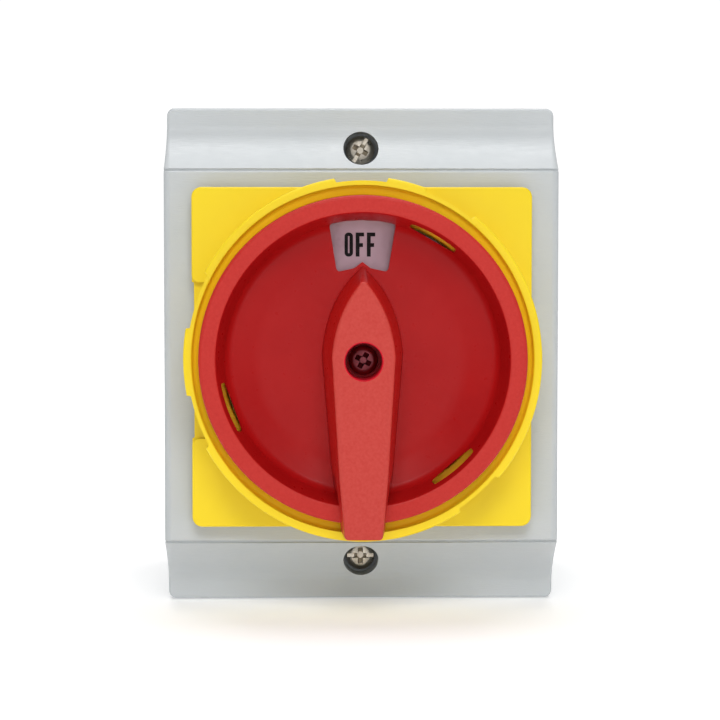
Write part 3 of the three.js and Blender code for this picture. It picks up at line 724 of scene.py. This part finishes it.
def letter_faces(base, count, hollow):
    """The faces of a raised letter whose points, ring by ring and back before front, start at base."""
    if hollow:
        ends = ((0, count), (3 * count, 2 * count), (2 * count, 0), (count, 3 * count))
        return [[base + a + i, base + a + (i + 1) % count, base + b + (i + 1) % count, base + b + i]
                for i in range(count) for a, b in ends]
    faces = [[base + i for i in range(count)], [base + count + i for i in reversed(range(count))]]
    return faces + [[base + i, base + (i + 1) % count, base + count + (i + 1) % count, base + count + i]
                    for i in range(count)]


def dial_word(name, letters, bearing):
    """A printed word on the dial, upright when its bearing is at the top."""
    vertices, faces = [], []
    start = -LETTER_PITCH * (len(letters) - 1) / 2 - HALF_LETTER
    turn = math.radians(bearing)
    for index, outlines in enumerate(letters):
        placed = [placed_letter(outline, start + index * LETTER_PITCH, turn) for outline in outlines]
        faces += letter_faces(len(vertices), len(placed[0]), len(placed) == 2)
        for depth in (DIAL_FRONT - 0.02, DIAL_FRONT + 0.03):
            vertices += [(x, -depth, z) for ring in placed for x, z in ring]
    made = mesh_object(name, vertices, faces)
    return install(made, INK, "enclosure", "black_plastic")


# ---- Knob ----


def knob_profile():
    """The knob's section: hub, underside, groove, skirt, rim and dish."""
    groove = RIM_FRONT - 2.5
    points = [
        (0, KNOB_BACK, 0), (HUB_RADIUS, KNOB_BACK, 0.2), (HUB_RADIUS, DISH_FLOOR - 1.6, 0.4),
        (RIM_INNER + 0.2, SKIRT_BACK, 0.3), (RIM_INNER + 0.4, groove, 0.3), (SKIRT_INNER, groove, 0.3),
        (SKIRT_INNER, SKIRT_BACK, 0.3), (KNOB_RADIUS, SKIRT_BACK, 0.3), (KNOB_RADIUS, RIM_FRONT, 0.7),
        (RIM_INNER, RIM_FRONT, 0.55), (25.2, DISH_FLOOR + 2.1, 2.2), (19, DISH_FLOOR + 0.3, 12),
        (0, DISH_FLOOR, 0),
    ]
    return rounded(points, 8, closed=False)


def grip_outline(tip, widest, waist, tail, end, blunt):
    """The grip seen from the front, anticlockwise: a pointed arch above, a slow taper below."""
    arch = []
    steps, bulge = 16, 0.9
    shoulder = tip - blunt * 0.7
    for k in range(steps + 1):
        t = k / steps
        across = (1 - t) ** 2 * widest + 2 * (1 - t) * t * widest * bulge + t * t * blunt
        up = (1 - t) ** 2 * WIDEST_AT + 2 * (1 - t) * t * (tip - 6) + t * t * shoulder
        arch.append(Vector((across, up)))
    nose = []
    for k in range(1, 6):
        turn = math.pi * k / 6
        nose.append(Vector((blunt * math.cos(turn), shoulder + blunt * 0.7 * math.sin(turn))))
    taper = [(0, end, 0), (tail, end, 0.7), (waist, WAIST_AT, 30), (widest, WIDEST_AT, 0)]
    half = rounded(taper, 5, closed=False)[1:-1] + arch
    return half + nose + [Vector((-p.x, p.y)) for p in reversed(half)]


def build_grip():
    """The grip bar: sloping sides from a wide foot to a narrower front face with softened edges."""
    foot = grip_outline(tip=17.3, widest=7.75, waist=5.9, tail=4.5, end=-31.9, blunt=0.6)
    face = grip_outline(tip=14.4, widest=5.75, waist=4.4, tail=3.4, end=TAIL_END, blunt=0.8)
    edge = 0.5
    levels = []
    base = DISH_FLOOR - 1
    for k in range(6):
        t = k / 5
        depth = base + (GRIP_FRONT - edge - base) * t
        levels.append(([a.lerp(b, t) for a, b in zip(foot, face)], depth))
    for k in range(1, 6):
        turn = math.pi / 2 * k / 5
        levels.append((inset(face, edge * (1 - math.cos(turn))), GRIP_FRONT - edge * (1 - math.sin(turn))))
    return stack("grip", levels)


def window_cutter():
    """The window: part of a ring with soft corners and steep sides, notched for the grip's point.

    Each corner is given by its bearing, its radius and how far it is rounded.
    """
    inner, outer = 16.75, 25.7
    inner_turn, outer_turn = 16.5, 13.9
    corners = ((-inner_turn, inner, 0.7), (-outer_turn, outer, 0.6), (-outer_turn / 2, outer, 0),
               (0, outer, 0), (outer_turn / 2, outer, 0), (outer_turn, outer, 0.6), (inner_turn, inner, 0.7))
    points = []
    for bearing, radius, corner in corners:
        angle = math.radians(bearing)
        points.append((radius * math.sin(angle), radius * math.cos(angle), corner))
    points += [(1.5, inner + 0.05, 0.2), (0, inner + 1.2, 0.2), (-1.5, inner + 0.05, 0.2)]
    return slab("window", rounded(points, 5)[::-1], DISH_FLOOR - 4, DISH_FLOOR + 6)


def tail_clearance():
    """The cutter that keeps the grip's tail off the collar, below the rim and outside the knob."""
    inner, back, front = KNOB_RADIUS - 0.05, DISH_FLOOR - 4, RIM_FRONT - 2
    return revolve("clearance", [(inner, back), (45, back), (45, front), (inner, front)], 128)


def build_knob():
    made = revolve("knob_body", knob_profile(), 256)
    grip = build_grip()
    combine(grip, [tail_clearance()])
    combine(made, [grip], "UNION")
    radius, seat = GRIP_HOLE_RADIUS, GRIP_HOLE_SEAT
    mouth = [(radius, GRIP_FRONT - 0.25), (radius + 0.3, GRIP_FRONT + 0.1), (4, 95), (0, 95)]
    hole = revolve("hole", [(0, seat), (radius, seat), *mouth], 64)
    slots = []
    for turn in PADLOCK_BEARINGS:
        back, front = SKIRT_BACK - 3, RIM_FRONT - 1.8
        slots.append(bar("slot", PADLOCK_HALF_WIDTH, PADLOCK_INNER, 34, back, front, turn, 0.5))
    socket = slab("socket", rectangle(3.15, 3.15, 0.2), KNOB_BACK - 1, seat - 1.8)
    bore = slab("bore", circle(PILOT_RADIUS, 32), 76, 80)
    combine(made, [hole, window_cutter(), socket, bore, *slots])
    made.data.materials.clear()
    for material in KNOB_LIT_AND_SHADED_REDS:
        made.data.materials.append(material)
    # Each face takes the lit or shaded copy of the red for where it lies: painted light and shade.
    for face in made.data.polygons:
        face.material_index = KNOB_LIT_AND_SHADED_REDS.index(knob_red(face.center / MM))
    return install(made, DISH_SHADED_RED, "rotor", "red_plastic", "knob")


def knob_red(point):
    """Which lit or shaded copy of the knob's one red is painted at a point: painted shade in the dish,
    painted light on the grip's sides, a painted sheen on the grip's front, painted bounce light in the screw
    hole.
    """
    radius, depth = math.hypot(point.x, point.z), -point.y
    if radius < GRIP_HOLE_RADIUS + 0.25 and depth > DISH_FLOOR:
        return HOLE_BOUNCE_LIGHT_RED
    if depth > GRIP_FRONT - 0.3:
        return GRIP_SHEEN_RED
    if depth > RIM_FRONT + 0.1 or (radius < 22 and depth > DISH_FLOOR + 1):
        return GRIP_SIDE_LIT_RED
    if depth > RIM_FRONT - 0.6 and radius > RIM_INNER + 0.1:
        return RIM_RED
    return DISH_SHADED_RED


# ---- Screws ----


def cross_cutter(name, arm, half, top, depth, turn):
    """A tapered cross recess, turned clockwise by so many degrees."""
    parts = []
    for quarter in (0, 90):
        corners = ((-arm, -half), (arm, -half), (arm, half), (-arm, half))
        outline = rounded([(across, up, 0.12) for across, up in corners], 3)
        low = [Vector((p.x * 0.35, p.y * 0.7)) for p in outline]
        part = stack(name, [(low, top - depth), (outline, top + 0.01), (outline, top + 1)])
        angle = math.radians(quarter + turn)
        for v in part.data.vertices:
            x, z = v.co.x, v.co.z
            v.co.x = x * math.cos(angle) + z * math.sin(angle)
            v.co.z = z * math.cos(angle) - x * math.sin(angle)
        parts.append(part)
    return combine(parts[0], parts[1:], "UNION")


def pan_screw(name, node, body, material, turn, slotted):
    """A pan-head screw in the place of its CAD node, its recess turned clockwise from upright."""
    left, right, low, high, tip, top = span(node)
    radius, up = (right - left) / 2, (low + high) / 2
    seat = top - 2
    profile = rounded([
        (0, tip, 0), (1.2, tip, 0.2), (1.5, tip + 1, 0.2), (1.5, seat, 0.1), (radius, seat, 0.2),
        (radius, seat + 1.2, 0.5), (radius * 0.78, top - 0.2, 1.2), (0, top, 0),
    ], 6, closed=False)
    made = revolve(name, profile, 96)
    cutters = [cross_cutter("cross", radius * 0.62, 0.5, top, 1.3, turn)]
    if slotted:
        cutters.append(bar("slot", 0.4, -radius - 1, radius + 1, top - 0.6, top + 1, turn, 0.05))
    combine(made, cutters)
    for v in made.data.vertices:
        v.co.z += up * MM
    return install(made, material, body, "nickel_screw", node)


# ---- Assembly ----


def dress_cad_nodes():
    """Gives every CAD node that still shows its procedural material."""
    slots = {part["node"]: part["material_slot"] for part in frame["record"]["subparts"]}
    for name, node in frame["nodes"].items():
        node.data.materials.clear()
        node.data.materials.append(CAD_MATERIALS[slots[name]])


dress_cad_nodes()
build_base()
build_cover()
build_plate()
build_collar()
build_dial()
dial_word("dial_word_off", [letter_o(), letter_f(), letter_f()], 0)
dial_word("dial_word_on", [letter_o(), letter_n()], 90)
build_knob()
pan_screw("cover_screw_upper", "cover_screw_top", "enclosure", NICKEL, 30, True)
pan_screw("cover_screw_lower", "cover_screw_bottom", "enclosure", NICKEL, 90, True)
pan_screw("grip_screw", "knob_screw", "rotor", RED_REFLECTING_DARK_STEEL, 28, False)


# ---- Stage, light and camera ----


def floor():
    """A pale sweep that glows though it is no lamp: its glow lights the switch's lower front and rises to
    white behind the switch.
    """
    reach = 2500
    corners = [(-reach, -reach, 0), (reach, -reach, 0), (reach, reach, 0), (-reach, reach, 0)]
    made = mesh_object("floor", corners, [[0, 1, 2, 3]])
    made.location.z = cad_low.z - 0.0002
    shade = Shader("floor_white", (0.8, 0.8, 0.8), 0.7)
    shade.tint(shade.ramp(shade.noise(3, 2), 0, 1), (0.8, 0.8, 0.8), (0.83, 0.83, 0.83))
    parts = shade.nodes.new("ShaderNodeSeparateXYZ")
    shade.links.new(shade.place, parts.inputs["Vector"])
    # Painted light: the floor's emission rises from 0.3 in front to 0.75 behind, and lights the switch from
    # below.
    shade.shader.inputs["Emission Color"].default_value = (1, 1, 1, 1)
    strength = shade.ramp(parts.outputs["Y"], 0.3, 0.75, 0.0, 0.7)
    shade.links.new(strength, shade.shader.inputs["Emission Strength"])
    made.data.materials.append(shade.material)


def light(name, place, target, size, watts, color=(1, 1, 1)):
    data = bpy.data.lights.new(name, "AREA")
    data.shape = "RECTANGLE"
    data.size, data.size_y = size
    data.energy = watts
    data.color = color
    made = bpy.data.objects.new(name, data)
    bpy.context.scene.collection.objects.link(made)
    made.location = place
    made.rotation_mode = "QUATERNION"
    made.rotation_quaternion = (Vector(target) - Vector(place)).to_track_quat("-Z", "Y")


def lights():
    middle = (0, -RAISED * MM, 0)
    light("key_above", (0.02, -0.85, 0.6), middle, (0.5, 0.35), 4.4)
    light("fill_front", (0.1, -1.1, 0.05), middle, (0.6, 0.4), 0.9)
    light("top_light", (0, 0.12, 0.9), middle, (0.6, 0.4), 4.6)


def world():
    """White all round, and dimmer on the side the switch faces."""
    made = bpy.data.worlds.new("studio")
    made.use_nodes = True
    nodes, links = made.node_tree.nodes, made.node_tree.links
    place = nodes.new("ShaderNodeTexCoord")
    parts = nodes.new("ShaderNodeSeparateXYZ")
    links.new(place.outputs["Generated"], parts.inputs["Vector"])
    brightness = nodes.new("ShaderNodeMapRange")
    ends = {"From Min": 0.75, "From Max": 0.97, "To Min": 0.32, "To Max": 1.05}
    for name, number in ends.items():
        brightness.inputs[name].default_value = number
    links.new(parts.outputs["Y"], brightness.inputs["Value"])
    background = nodes["Background"]
    background.inputs["Color"].default_value = (1, 1, 1, 1)
    links.new(brightness.outputs["Result"], background.inputs["Strength"])
    bpy.context.scene.world = made


def camera():
    """A camera at arm's length, a little above and to the left of the switch's axis."""
    distance, mm_per_pixel, image, sensor = 390, 0.19, 720, 36
    data = bpy.data.cameras.new("camera")
    data.sensor_width = sensor
    data.lens = sensor * distance / (image * mm_per_pixel)
    made = bpy.data.objects.new("camera", data)
    bpy.context.scene.collection.objects.link(made)
    target = Vector((-0.3, -RAISED, -0.65))
    elevation, left = math.radians(2.6), math.radians(1.06)
    level = math.cos(elevation)
    back = Vector((-math.sin(left) * level, -math.cos(left) * level, math.sin(elevation)))
    made.location = (target + back * distance) * MM
    made.rotation_mode = "QUATERNION"
    made.rotation_quaternion = (-back).to_track_quat("-Z", "Y")
    bpy.context.scene.camera = made


floor()
lights()
world()
camera()
bpy.context.scene.view_settings.view_transform = "Standard"
